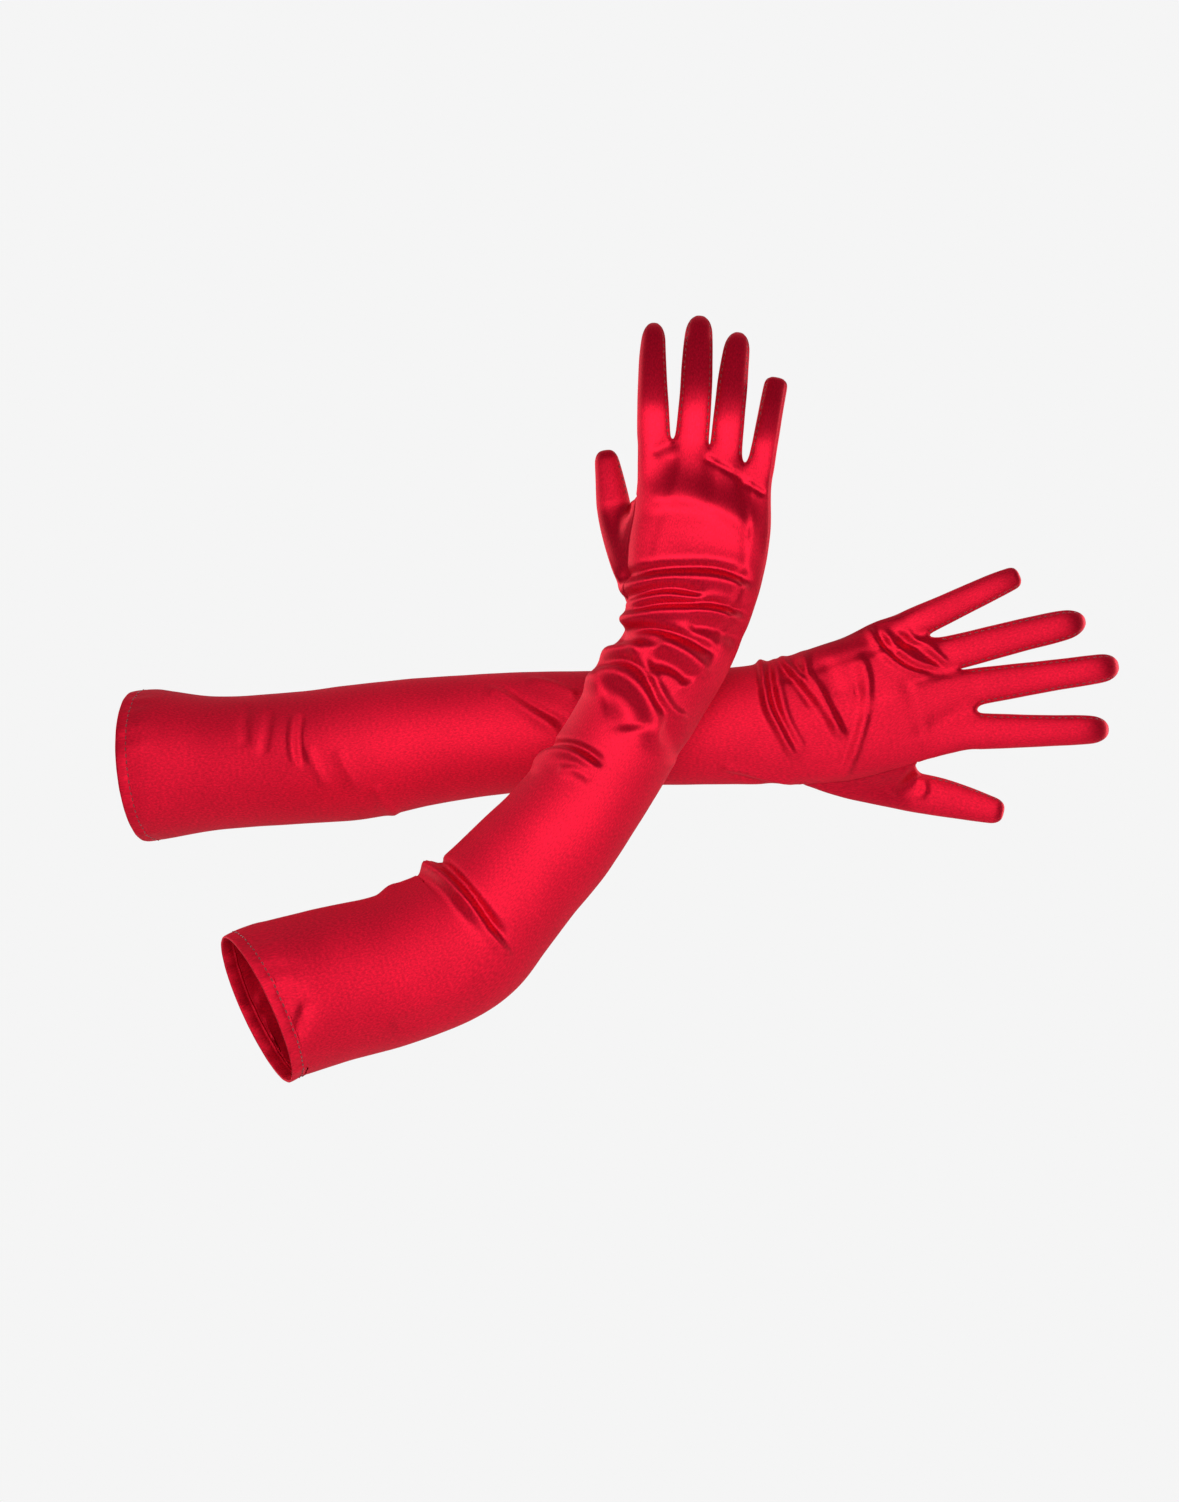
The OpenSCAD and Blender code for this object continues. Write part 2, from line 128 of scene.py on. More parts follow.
# ---------------------------------------------------------------- folds
# Each fold is (height, width on its left, width on its right, points), all in millimetres, seen
# from the back of the hand in X and Z. A height below 0 is a groove.
BACK_FOLDS = {
    "right": [
        # round the wrist, from the back of the hand down
        (-2.9, 3.1, 2.9, [(188, 227), (199, 231), (211, 233), (222, 233.8), (239, 234), (252, 231),
                          (264, 224)]),
        (2.8, 2.9, 5.1, [(188, 222), (199, 225.5), (211, 228.4), (224, 229.4), (241, 228.6),
                         (252, 226), (263, 220)]),
        (-2.2, 2.0, 2.4, [(190, 217), (200, 220), (209, 222.5), (220, 223.4), (230, 221.5),
                          (238, 219)]),
        (1.4, 2.3, 2.3, [(194, 214), (205, 217.4), (216, 219), (228, 217.6), (238, 217)]),
        (-2.4, 2.0, 2.4, [(194, 210), (204, 212.6), (214, 214.2), (226, 214.8), (240, 215),
                          (252, 212.6),
                          (262, 209)]),
        (3.2, 2.9, 4.8, [(184, 203.5), (192, 206.4), (200, 208.8), (210, 210.6), (224, 211),
                         (238, 210.6), (248, 208.4), (258, 204)]),
        (-3.1, 2.2, 3.3, [(180, 198), (190, 200.4), (199, 201.8), (208, 202), (218, 200),
                          (228, 196.4),
                          (237, 191.6), (245, 186)]),
        (-2.7, 4.4, 5.5, [(226, 203), (238, 202.6), (248, 199.6), (258, 195)]),
        (-3.4, 3.1, 3.3, [(176, 195.6), (186, 196.4), (196, 196.4), (206, 195.4), (216, 193)]),
        # the sleeve below the wrist
        (3.0, 4.4, 5.5, [(194, 190.5), (203, 194.2), (213, 193.6), (223, 189.6), (232, 183),
                         (239, 175)]),
        (-3.1, 6.2, 5.9, [(205, 184.4), (214, 183.6), (223, 178.6), (229, 171.5)]),
        (1.4, 3.4, 3.0, [(205, 176.4), (213, 177.4), (221, 174.6), (227, 168)]),
        (2.4, 3.4, 3.7, [(174, 181), (181, 187.4), (189, 190.2), (197, 190.6), (205, 186)]),
        (-2.0, 2.2, 2.4, [(176, 177), (185, 183.6), (194, 184.6), (202, 180), (207, 172),
                          (211, 163),
                          (217, 155)]),
        (3.6, 4.4, 6.4, [(170, 166), (177, 173.4), (185, 177.8), (193, 176.6), (200, 171.6),
                         (206, 163.6), (209.4, 154), (209.6, 144), (206, 134)]),
        (1.8, 2.3, 2.8, [(207, 180), (211.4, 171), (215.6, 163), (221, 156.6), (228, 154)]),
        (-2.2, 8.8, 7.7, [(180, 163), (189, 163), (196, 156), (198, 146)]),
        (-1.2, 5.5, 5.5, [(212, 150), (220, 142), (224, 130)]),
        # above the crossing
        (2.6, 2.2, 4.4, [(141, 127), (148, 133), (156, 136.4), (164, 136), (172, 132),
                         (182, 124)]),
        (-2.2, 2.0, 2.2, [(145, 133.6), (154, 139.6), (164, 140.2), (174, 136.4), (185, 128)]),
        (1.3, 2.2, 3.0, [(158, 126), (168, 126), (178, 120)]),
        # the roll inside the elbow
        (5.4, 3.0, 4.6, [(62, 58), (70, 66), (78, 71.4), (86, 74), (94, 72.6), (102, 67),
                         (111, 58), (122, 43)]),
        (1.6, 1.8, 4.4, [(104, 64), (114, 53), (124, 40), (136, 24)]),
        (-4.2, 2.2, 2.6, [(86, 80.6), (95, 77.4), (104, 71), (113, 61), (122, 50), (133, 35)]),
        # the back of the hand
        (1.5, 9.0, 5.0, [(203, 268), (214, 271.6), (226, 271.6), (240, 268), (254, 260),
                         (266, 250)]),
        (-1.1, 1.2, 1.8, [(236, 294), (243, 290), (250, 286), (258, 281.6)]),
        (-1.1, 1.1, 1.7, [(256, 281.2), (263, 277.4), (270, 273)]),
        (-0.6, 2.6, 3.0, [(208, 295.6), (216, 299.4), (224, 301.4)]),
        # the cuff
        (-2.2, 2.4, 4.6, [(15, -29), (19, -20), (25, -6), (30, 10)]),
        (1.6, 2.2, 3.4, [(12, -34), (17, -27), (24, -14)]),
        (0.8, 6.0, 6.0, [(84, -2), (100, 6), (118, 20)]),
        (-1.0, 5.0, 5.0, [(70, -10), (88, -4), (104, 4)])],
    "left": [
        (2.8, 3.1, 2.2, [(269, 191), (270, 182), (271, 172), (273, 160), (278, 150), (284, 139),
                         (291, 128)]),
        (-1.6, 1.8, 2.5, [(274, 188), (274.5, 173), (278, 159), (284, 147), (291, 134)]),
        (1.5, 2.2, 2.9, [(277, 190), (278, 180), (280, 168), (283, 155), (289, 143), (295, 134)]),
        (-1.3, 2.8, 2.3, [(281, 183), (286, 176), (293, 167), (299, 158)]),
        (2.2, 2.6, 1.9, [(280, 191), (283, 184), (290, 177), (297, 169), (302, 162), (308, 152),
                         (312, 142)]),
        (-1.4, 1.6, 2.1, [(286, 187), (292, 179), (298, 170.5), (304, 161), (310, 150)]),
        (2.4, 2.3, 3.4, [(294, 193), (294, 185), (295, 178), (300, 171), (306, 160), (312, 149),
                         (315, 141)]),
        (2.2, 2.1, 5.0, [(323, 192), (326, 184), (328, 176), (328, 166), (326, 153), (322, 139),
                         (317, 126), (314, 118)]),
        (-1.4, 3.7, 1.8, [(321, 176), (323, 165), (321, 152), (317, 138), (312, 123)]),
        (-1.0, 4.6, 4.6, [(305, 188), (308, 176), (312, 166)]),
        (1.8, 2.0, 2.6, [(328, 206), (331, 200), (335, 193), (343, 185), (353, 180), (366, 179)]),
        (-1.4, 1.8, 1.8, [(333, 204), (339, 194), (347, 186.5), (357, 181.5), (368, 181)]),
        (1.7, 2.1, 1.9, [(336, 205), (342, 195.5), (350, 188.5), (358, 184), (369, 182)]),
        (-1.2, 1.7, 1.7, [(343, 204), (349, 197), (357, 192), (364, 187), (372, 182)]),
        (1.4, 2.0, 1.8, [(349, 205), (354, 197.5), (361, 195), (367, 189), (375, 182)]),
        (-0.7, 1.7, 6.9, [(349, 178), (353, 166), (356, 153), (359, 141)]),
        (1.3, 2.6, 3.6, [(341, 112), (345, 118), (351, 127)]),
        (1.2, 2.3, 2.9, [(360, 122), (361, 115), (357, 109)]),
        (1.4, 2.6, 1.4, [(246, 127), (258, 125.5), (273, 121), (290, 118)]),
        (-1.2, 1.3, 1.3, [(250, 123), (262, 121), (276, 118), (288, 116)]),
        (-0.8, 3.0, 3.5, [(-13, 163), (-14, 150), (-13, 137)]),
        (-0.9, 3.0, 3.0, [(0, 160), (-2, 145), (-4, 132)]),
        (1.1, 2.6, 1.6, [(13, 158), (12, 142), (14, 127)]),
        (-1.2, 1.3, 2.0, [(18, 158), (16.5, 142), (19, 127)]),
        (0.9, 2.0, 2.6, [(21, 140), (26, 127), (32, 116)]),
        (0.8, 3.0, 3.0, [(37, 137), (43, 125), (50, 113)]),
        (1.5, 1.6, 4.0, [(118, 172), (130, 166), (142, 158), (163, 145)]),
        (-1.6, 1.4, 1.4, [(128, 172), (141, 164), (151, 158), (164, 151)]),
        (1.2, 1.6, 3.0, [(140, 176), (155, 173), (170, 167)]),
        (1.5, 3.5, 3.0, [(70, 101), (62, 108), (58, 118)])]}
# The palm's own folds, seen from the same side
PALM_FOLDS = {
    "right": [
        (2.2, 2.6, 4.0, [(196, 222), (214, 226), (236, 226), (258, 221)]),
        (-1.8, 2.4, 2.4, [(195, 217), (214, 220), (238, 220), (258, 215)]),
        (2.4, 2.6, 4.0, [(194, 209), (212, 213), (236, 213), (256, 206)]),
        (-2.0, 2.6, 2.6, [(196, 203), (212, 205), (232, 203), (248, 197)]),
        (2.2, 3.0, 4.0, [(190, 186), (208, 193), (228, 192), (244, 184)]),
        (2.4, 3.0, 4.6, [(176, 158), (192, 168), (212, 170), (228, 162)]),
        (-1.8, 3.0, 3.0, [(178, 150), (196, 158), (214, 158)]),
        (1.8, 3.0, 4.0, [(152, 124), (170, 132), (190, 132)]),
        (4.2, 2.4, 4.6, [(71, 63), (78, 70), (84, 74), (92, 74), (101, 69), (111, 58)]),
        (-2.4, 2.0, 2.0, [(94, 76), (105, 69), (116, 58), (126, 44)]),
        (-1.6, 2.6, 2.6, [(213, 292), (230, 290), (250, 282), (264, 272)]),
        (-1.2, 3.0, 3.0, [(214, 272), (232, 262), (258, 258)]),
        (-1.4, 3.0, 3.0, [(206, 268), (214, 250), (214, 232)])],
    "left": [
        (2.2, 2.4, 2.4, [(272, 186), (276, 168), (276, 148), (272, 126)]),
        (-1.8, 2.2, 2.2, [(279, 184), (283, 166), (283, 146), (279, 124)]),
        (2.2, 2.4, 2.4, [(287, 188), (291, 168), (291, 146), (286, 122)]),
        (-1.6, 2.4, 2.4, [(297, 186), (301, 168), (300, 146)]),
        (-1.6, 2.6, 2.6, [(376, 150), (377, 170), (366, 188), (348, 200)]),
        (-1.2, 3.0, 3.0, [(366, 146), (346, 158), (338, 184)]),
        (-1.4, 3.0, 3.0, [(352, 140), (332, 142), (316, 140)]),
        (1.6, 3.0, 3.0, [(36, 158), (34, 140), (38, 118)]),
        (1.4, 3.0, 3.0, [(52, 154), (50, 140), (54, 122)]),
        (1.4, 2.4, 4.0, [(120, 172), (140, 158), (160, 142)])]}

# ---------------------------------------------------------------- how the cloth is divided
AROUND = 72            # faces round a sleeve
SIDE = 4               # faces down each side of a finger
ACROSS = 8             # faces across the back of a finger
ROW = 3.0              # length of a face along the glove
HEM_TUCK = 6.8         # how far in from the cuff's edge the sleeve starts, inside its hem
SLEEVE_END = 44        # the sleeve piece ends this far short of the wrist
SIDE_SEAM = 40         # the column of the seam down the little finger's side
HOLE = (1, 11)         # columns that the thumb takes out of the hand
HOLE_ROWS = 21
THENAR_RINGS = 18
TIP_RINGS = 6
ROUND = {"sleeve": 2.0, "hand": 2.4, "finger": 2.5}
REGIONS = ("sleeve", "hand") + DIGITS
TIP = {"finger": (10.5, 0.85), "little": (4.5, 0.5), "thumb": (6.5, 0.6)}  # length, bluntness
FOLD_FADE = 0.16       # share of a fold's length over which it fades, at each end
SEAM_DEPTH = 0.55      # how far a seam draws the cloth in
FINGER_SIDE = 38       # degrees from the middle of a finger's side to its edge
MEAN_R = {"sleeve": 33, "finger": 8, "thumb": 9}    # for the cloth's own coordinates
LOOSE = {"thumb": 0.6, "finger": 0.5, "knuckles": 0.35}    # how freely cloth evens out there
LOOSE_RINGS = 7        # rings of the thenar over which it takes its own shape again
STITCH_GROOVE = 1.6    # how far the hem's stitches lie from its inner edge


# ---------------------------------------------------------------- curves and sections
def unit(v):
    return v / np.linalg.norm(v, axis=-1, keepdims=True)


def ease(x, low, high):
    t = np.clip((x - low) / (high - low), 0, 1)
    return t * t * (3 - 2 * t)


def stations_of(name):
    axis = -np.array(CUFF[name]["axis"])
    start = np.array(CUFF[name]["pos_m"]) / MM
    hem = [[*(start + s * axis), RIM_R, RIM_R] for s in HEM_STATIONS]
    return np.array(hem + SLEEVE[name], float)


def runs(st):
    steps = np.linalg.norm(np.diff(st[:, :3], axis=0), axis=1)
    return np.concatenate([[0], np.cumsum(steps)])


def at(st, s):
    """The stations at distances s, on a smooth curve through them all."""
    ds = runs(st)
    n = len(st)
    low, high = np.maximum(np.arange(n) - 1, 0), np.minimum(np.arange(n) + 1, n - 1)
    slope = (st[high] - st[low]) / (ds[high] - ds[low])[:, None]
    i = np.clip(np.searchsorted(ds, s, side="right") - 1, 0, n - 2)
    h = (ds[i + 1] - ds[i])[..., None]
    t = (s - ds[i])[..., None] / h
    return ((1 + 2 * t) * (1 - t) ** 2 * st[i] + t * (1 - t) ** 2 * h * slope[i]
            + t * t * (3 - 2 * t) * st[i + 1] + t * t * (t - 1) * h * slope[i + 1])


def heading(st, s):
    return unit(at(st, s + 0.5)[..., :3] - at(st, s - 0.5)[..., :3])


def section(st, s, q, hand, squareness, grow=0.0, scale=1.0):
    """Points of the cloth at distances s and angles q in degrees: 0 is the thumb's side, 90 the
    palm's and 180 the little finger's."""
    s, q = np.broadcast_arrays(np.asarray(s, float), np.radians(np.asarray(q, float)))
    p = at(st, s)
    ahead = heading(st, s)
    side = hand * unit(np.cross(ahead, [0, 1, 0]))
    deep = hand * np.cross(side, ahead)
    e = 2 / np.broadcast_to(squareness, s.shape)
    cos, sin = np.cos(q), np.sin(q)
    w = (p[..., 3] + grow) * scale * np.sign(cos) * np.abs(cos) ** e
    d = (p[..., 4] + grow) * scale * np.sign(sin) * np.abs(sin) ** e
    return p[..., :3] + side * w[..., None] + deep * d[..., None]


def smooth_line(points, count):
    """A smooth curve through the points, as count points."""
    p = np.array(points, float)
    p = np.vstack([2 * p[0] - p[1], p, 2 * p[-1] - p[-2]])
    u = np.linspace(0, len(p) - 3 - 1e-9, count)
    i = u.astype(int)
    t = (u - i)[:, None]
    a, b, c, d = p[i], p[i + 1], p[i + 2], p[i + 3]
    return 0.5 * (2 * b + (c - a) * t + (2 * a - 5 * b + 4 * c - d) * t ** 2
                  + (3 * b - a - 3 * c + d) * t ** 3)


# ---------------------------------------------------------------- the mesh of one glove
class Cloth:
    """The points, faces and seams of one glove while it is drawn."""

    def __init__(self):
        self.points, self.faces, self.region, self.uv = [], [], [], []
        self.seams, self.loose = {}, {}

    def add(self, pts):
        first = len(self.points)
        self.points.extend(np.asarray(pts, float))
        return list(range(first, first + len(pts)))

    def face(self, corners, region, uv):
        self.faces.append(corners)
        self.region.append(REGIONS.index(region))
        self.uv.append(uv)

    def strip(self, low, high, region, u_step, v_low, v_high):
        """Faces between two closed rings of points."""
        n = len(low)
        for k in range(n):
            m = (k + 1) % n
            self.face((low[k], low[m], high[m], high[k]), region,
                      ((k * u_step, v_low), ((k + 1) * u_step, v_low),
                       ((k + 1) * u_step, v_high), (k * u_step, v_high)))


def finger_angles():
    half = FINGER_SIDE
    side = np.linspace(-half, half, SIDE + 1)
    palm = np.linspace(half, 180 - half, ACROSS + 1)
    back = np.linspace(180 + half, 360 - half, ACROSS + 1)
    return np.concatenate([side, palm[1:], 180 + side[1:], back[1:-1]])


def finger_columns(f):
    """Columns of the hand's last ring that a finger's root uses, in the finger's own order."""
    palm = SIDE + ACROSS * f
    back = AROUND - ACROSS * (f + 1)
    left = [back + ACROSS] + [None] * (SIDE - 1)
    right = [palm + ACROSS] + [None] * (SIDE - 1)
    if f == 0:
        left = [0, 1, 2, 3]
    if f == 3:
        right = [palm + ACROSS + j for j in range(SIDE)]
    cols = left + [palm + j for j in range(ACROSS)] + right + [back + j for j in range(ACROSS)]
    return [None if c is None else c % AROUND for c in cols]


def root_ring(name):
    """The last ring of the hand, and the three points of each web between two fingers."""
    phi = finger_angles()
    roots = []
    for line, slant in FINGER_LINES[name]:
        st = np.array(line, float)
        roots.append(section(st, slant * np.cos(np.radians(phi)), phi, HAND[name],
                             ROUND["finger"]))
    ring = np.full((AROUND, 3), np.nan)
    for f, pts in enumerate(roots):
        for m, c in enumerate(finger_columns(f)):
            if c is not None:
                ring[c] = pts[m] if np.isnan(ring[c][0]) else (ring[c] + pts[m]) / 2
    webs = []
    ulnar, radial = slice(2 * SIDE + ACROSS - 1, SIDE + ACROSS, -1), slice(1, SIDE)
    for f in range(3):
        first, second = np.array(FINGER_LINES[name][f][0][:2])[:, :3]
        back = first - second
        drop = unit(back) * WEB_DROP[name][f]
        web = (roots[f][ulnar] + roots[f + 1][radial]) / 2 + drop
        webs.append(web)
        for c in ((AROUND - ACROSS * (f + 1)) % AROUND, SIDE + ACROSS * (f + 1)):
            ring[c] += drop * 0.8
    return ring, webs


def draw_sleeve(cloth, name):
    """The sleeve and the hand, as rings from the cuff to the knuckles. Returns the rings."""
    st = stations_of(name)
    ds = runs(st)
    wrist = ds[WRIST_STATION[name]]
    k = np.arange(AROUND)
    # the sides take 20 degrees each
    q_even = (k - SIDE / 2) * 360 / AROUND
    last, webs = root_ring(name)
    centre, ahead = at(st, np.array(ds[-1]))[:3], heading(st, np.array(ds[-1] - 8))
    side = HAND[name] * unit(np.cross(ahead, [0, 1, 0]))
    s_last = ds[-1] + (last - centre) @ ahead
    reach = at(st, s_last)
    lateral = np.clip(((last - reach[:, :3]) @ side) / reach[:, 3], -1, 1)
    turn = np.degrees(np.arccos(np.sign(lateral) * np.abs(lateral) ** (ROUND["hand"] / 2)))
    palmward = (k >= SIDE / 2) & (k <= SIDE * 1.5 + 4 * ACROSS)
    q_last = np.where(palmward, turn, 360 - turn)
    q_last = np.where((k < SIDE / 2), -turn, q_last)
    start = wrist - SLEEVE_END
    n_sleeve = round((start - HEM_TUCK) / ROW)
    n_hand = round((ds[-1] - start) / ROW)
    rows = [np.full(AROUND, s) for s in np.linspace(HEM_TUCK, start, n_sleeve + 1)]
    rows += [start + (s_last - start) * t for t in np.linspace(0, 1, n_hand + 1)[1:]]
    rings = []
    fit = last - section(st, s_last, q_last, HAND[name], ROUND["hand"])
    for i, s in enumerate(rows):
        t = max(0, i - n_sleeve) / n_hand
        spread = ease(t, 0.45, 1.0)
        q = q_even + (((q_last - q_even) + 180) % 360 - 180) * spread
        flatter = ease(s, wrist - 10, wrist + 30)
        squareness = ROUND["sleeve"] + (ROUND["hand"] - ROUND["sleeve"]) * flatter
        pts = section(st, s, q, HAND[name], squareness)
        pts += fit * ease(t, 0.72, 1.0)
        if i == len(rows) - 1:
            pts = last
        # the cuff is drawn up a little by its hem
        pts = gathered(name, pts, s, q)
        rings.append(cloth.add(pts))
    v = [float(np.mean(s)) for s in rows]
    hole_top = hole_row(name, rings, cloth)
    hole = (hole_top - HOLE_ROWS, hole_top)
    step = 2 * math.pi * MEAN_R["sleeve"] / AROUND
    for i in range(len(rings) - 1):
        for c in range(AROUND):
            if hole[0] <= i < hole[1] and HOLE[0] <= c < HOLE[1]:
                continue
            d = (c + 1) % AROUND
            cloth.face((rings[i][c], rings[i][d], rings[i + 1][d], rings[i + 1][c]),
                       "sleeve" if i < n_sleeve else "hand",
                       ((c * step, v[i]), ((c + 1) * step, v[i]),
                        ((c + 1) * step, v[i + 1]), (c * step, v[i + 1])))
    for r in rings:
        cloth.seams[r[SIDE_SEAM]] = 0.8
    web_ids = [cloth.add(w) for w in webs]
    return rings, web_ids, hole, v


def outward_of(name, pts):
    """The way out from the axis of the cuff at each point."""
    axis = -np.array(CUFF[name]["axis"])
    out = pts - np.array(CUFF[name]["pos_m"]) / MM
    return unit(out - (out @ axis)[:, None] * axis)


def gathered(name, pts, s, q):
    """Small gathers where the hem's stitches draw the cloth in."""
    near = np.exp(-((np.asarray(s) - 9) / 7) ** 2)
    a = np.radians(q)
    wave = 0.35 * np.sin(23 * a) + 0.3 * np.sin(14 * a + 1.3) + 0.5 * np.sin(5 * a + HAND[name])
    return pts + outward_of(name, pts) * (near * (wave - 0.3))[:, None]


def hole_row(name, rings, cloth):
    """The row of the hand where the web of the thumb is."""
    axis = 2 if name == "right" else 0
    places = [cloth.points[r[SIDE // 2]][axis] for r in rings]
    return int(np.argmin(np.abs(np.array(places) - THUMB_WEB[name])))


def draw_tube(cloth, st, hand, ring, phi, first, region, squareness, v0, slant, tip, blunt):
    """A finger or a thumb from its first ring to its closed tip. Returns the rings."""
    total = runs(st)[-1]
    step = 2 * math.pi * MEAN_R["finger"] / len(phi)
    flat = total - tip
    n = round((flat - first) / ROW)
    heights = list(np.linspace(first, flat, n + 1)[1:])
    sizes = [1.0] * len(heights)
    for j in range(1, TIP_RINGS):
        a = j / TIP_RINGS * math.pi / 2
        heights.append(flat + tip * math.sin(a))
        sizes.append(math.cos(a) ** blunt)
    rings, v = [ring], [v0 + first]
    for h, size in zip(heights, sizes):
        lean = slant * np.cos(np.radians(phi)) * max(0, 1 - (h - first) / 18)
        rings.append(cloth.add(section(st, h + lean, phi, hand, squareness, scale=size)))
        v.append(v0 + h)
    for low, high, a, b in zip(rings, rings[1:], v, v[1:]):
        cloth.strip(low, high, region, step, a, b)
    pole = cloth.add([at(st, np.array(total))[:3]])[0]
    top = rings[-1]
    for k in range(len(top)):
        m = (k + 1) % len(top)
        cloth.face((top[k], top[m], pole), region,
                   ((k * step, v[-1]), ((k + 1) * step, v[-1]), ((k + 0.5) * step, v0 + total)))
    return rings


def draw_thumb(cloth, name, rings, hole, v):
    """The thenar, which carries the hand's cloth out to the thumb, and the thumb."""
    st = np.array(THUMB_LINES[name], float)
    hand = HAND[name]
    low, high = hole
    a, b = HOLE
    middle = (a + b) // 2
    loop = [(low, c) for c in range(middle, b)]
    loop += [(r, b) for r in range(low, high)]
    loop += [(high, c) for c in range(b, a, -1)]
    loop += [(r, a) for r in range(high, low, -1)]
    loop += [(low, c) for c in range(a, middle)]
    ring = [rings[r][c] for r, c in loop]
    n = len(ring)
    phi = np.arange(n) * 360 / n
    p0 = np.array([cloth.points[i] for i in ring])
    hole_mid = p0.mean(axis=0)
    hand_st, s_mid = stations_of(name), np.array(v[(low + high) // 2])
    axis_point = at(hand_st, s_mid)[:3]
    ahead = heading(hand_st, s_mid)
    outward = hole_mid - axis_point
    outward = unit(outward - ahead * (outward @ ahead))
    inward = unit(hole_mid - p0 + 1e-9)
    first = THUMB_FREE[name]
    p1 = section(st, first, phi, hand, ROUND["finger"])
    along = heading(st, np.array(first))
    web = (1 - np.cos(np.radians(phi))) / 2        # 0 on the outer side, 1 at the web
    t0 = inward * (0.25 + 0.1 * web)[:, None] + outward * (0.72 + 0.35 * web)[:, None]
    t0 += ahead * (0.75 * (1 - web) ** 2)[:, None]
    gap = np.linalg.norm(p1 - p0, axis=1)[:, None]
    t0, t1 = unit(t0) * gap * (0.95 - 0.2 * web)[:, None], along * gap * 0.9
    thenar = [ring]
    for j in range(1, THENAR_RINGS + 1):
        t = j / THENAR_RINGS
        pts = ((1 + 2 * t) * (1 - t) ** 2 * p0 + t * (1 - t) ** 2 * t0
               + t * t * (3 - 2 * t) * p1 + t * t * (t - 1) * t1)
        thenar.append(cloth.add(pts))
    step = 2 * math.pi * MEAN_R["thumb"] / n
    for j, (inner, outer) in enumerate(zip(thenar, thenar[1:])):
        cloth.strip(inner, outer, "hand", step, v[low] + j * ROW, v[low] + (j + 1) * ROW)
        for i in inner:
            cloth.loose[i] = max(0.0, 1 - j / LOOSE_RINGS)
    for r in range(low - 3, high + 4):
        for c in range(a - 3, b + 4):
            if r < len(rings):
                cloth.loose[rings[r][c % AROUND]] = LOOSE["thumb"]
    for i in ring:
        cloth.seams[i] = 1.0
    tube = draw_tube(cloth, st, hand, thenar[-1], phi, first, "thumb", ROUND["finger"],
                     v[low], 0.0, *TIP["thumb"])
    return tube, phi


def draw_fingers(cloth, name, rings, webs, v_end):
    phi = finger_angles()
    drawn = {}
    for f, (line, slant) in enumerate(FINGER_LINES[name]):
        cols = finger_columns(f)
        ring = [None if c is None else rings[-1][c] for c in cols]
        if f > 0:
            ring[1:SIDE] = webs[f - 1]
        if f < 3:
            ring[SIDE + ACROSS + 1:2 * SIDE + ACROSS] = webs[f][::-1]
        tube = draw_tube(cloth, np.array(line, float), HAND[name], ring, phi, 0.0, FINGERS[f],
                         ROUND["finger"], v_end, slant, *TIP["finger" if f < 3 else "little"])
        for r in tube[1:-1]:
            for m in (0, SIDE, SIDE + ACROSS, 2 * SIDE + ACROSS):
                if not ((f == 0 and m < SIDE + 1) or (f == 3 and m == SIDE + ACROSS)):
                    cloth.seams[r[m]] = 1.0
        drawn[FINGERS[f]] = tube
        for r in tube[:2]:
            for i in r:
                cloth.loose[i] = LOOSE["finger"]
    for r in rings[-3:]:
        for i in r:
            cloth.loose.setdefault(i, LOOSE["knuckles"])
    return drawn


def relax(cloth, rounds=6):
    """Evens out the cloth round the thumb's base and the webs."""
    pts = np.array(cloth.points)
    edges = set()
    for f in cloth.faces:
        for i, j in zip(f, f[1:] + f[:1]):
            edges.add((min(i, j), max(i, j)))
    e = np.array(sorted(edges))
    weight = np.zeros(len(pts))
    for i, w in cloth.loose.items():
        weight[i] = w
    count = np.bincount(e.ravel(), minlength=len(pts))[:, None]
    for _ in range(rounds):
        total = np.zeros_like(pts)
        np.add.at(total, e[:, 0], pts[e[:, 1]])
        np.add.at(total, e[:, 1], pts[e[:, 0]])
        pts += (total / np.maximum(count, 1) - pts) * (0.6 * weight)[:, None]
    cloth.points = list(pts)


# ---------------------------------------------------------------- folds pressed into the cloth
def fold_shape(x, z, fold):
    """How far one fold lifts each point. A fold fades out at both its ends."""
    height, left, right, points = fold
    line = smooth_line(points, 8 * len(points))
    lift = np.zeros(len(x))
    reach = 3.2 * max(left, right)
    near = ((x > line[:, 0].min() - reach) & (x < line[:, 0].max() + reach)
            & (z > line[:, 1].min() - reach) & (z < line[:, 1].max() + reach))
    if not near.any():
        return lift    # the fold is on another part of the cloth
    p = np.stack([x[near], z[near]], axis=1)
    a, b = line[:-1], line[1:]
    d = b - a
    t = np.clip(((p[:, None] - a) * d).sum(-1) / (d * d).sum(-1), 0, 1)
    gap = p[:, None] - (a + t[..., None] * d)
    far = np.linalg.norm(gap, axis=-1)
    i = far.argmin(axis=1)
    pick = np.arange(len(p))
    side = d[i, 0] * gap[pick, i, 1] - d[i, 1] * gap[pick, i, 0]
    width = np.where(side > 0, left, right)
    part = (i + t[pick, i]) / len(a)
    fade = ease(part, 0.0, FOLD_FADE) * ease(1 - part, 0.0, FOLD_FADE)
    shape = np.exp(-(far[pick, i] / width) ** 2)
    lift[near] = height * shape * fade
    return lift


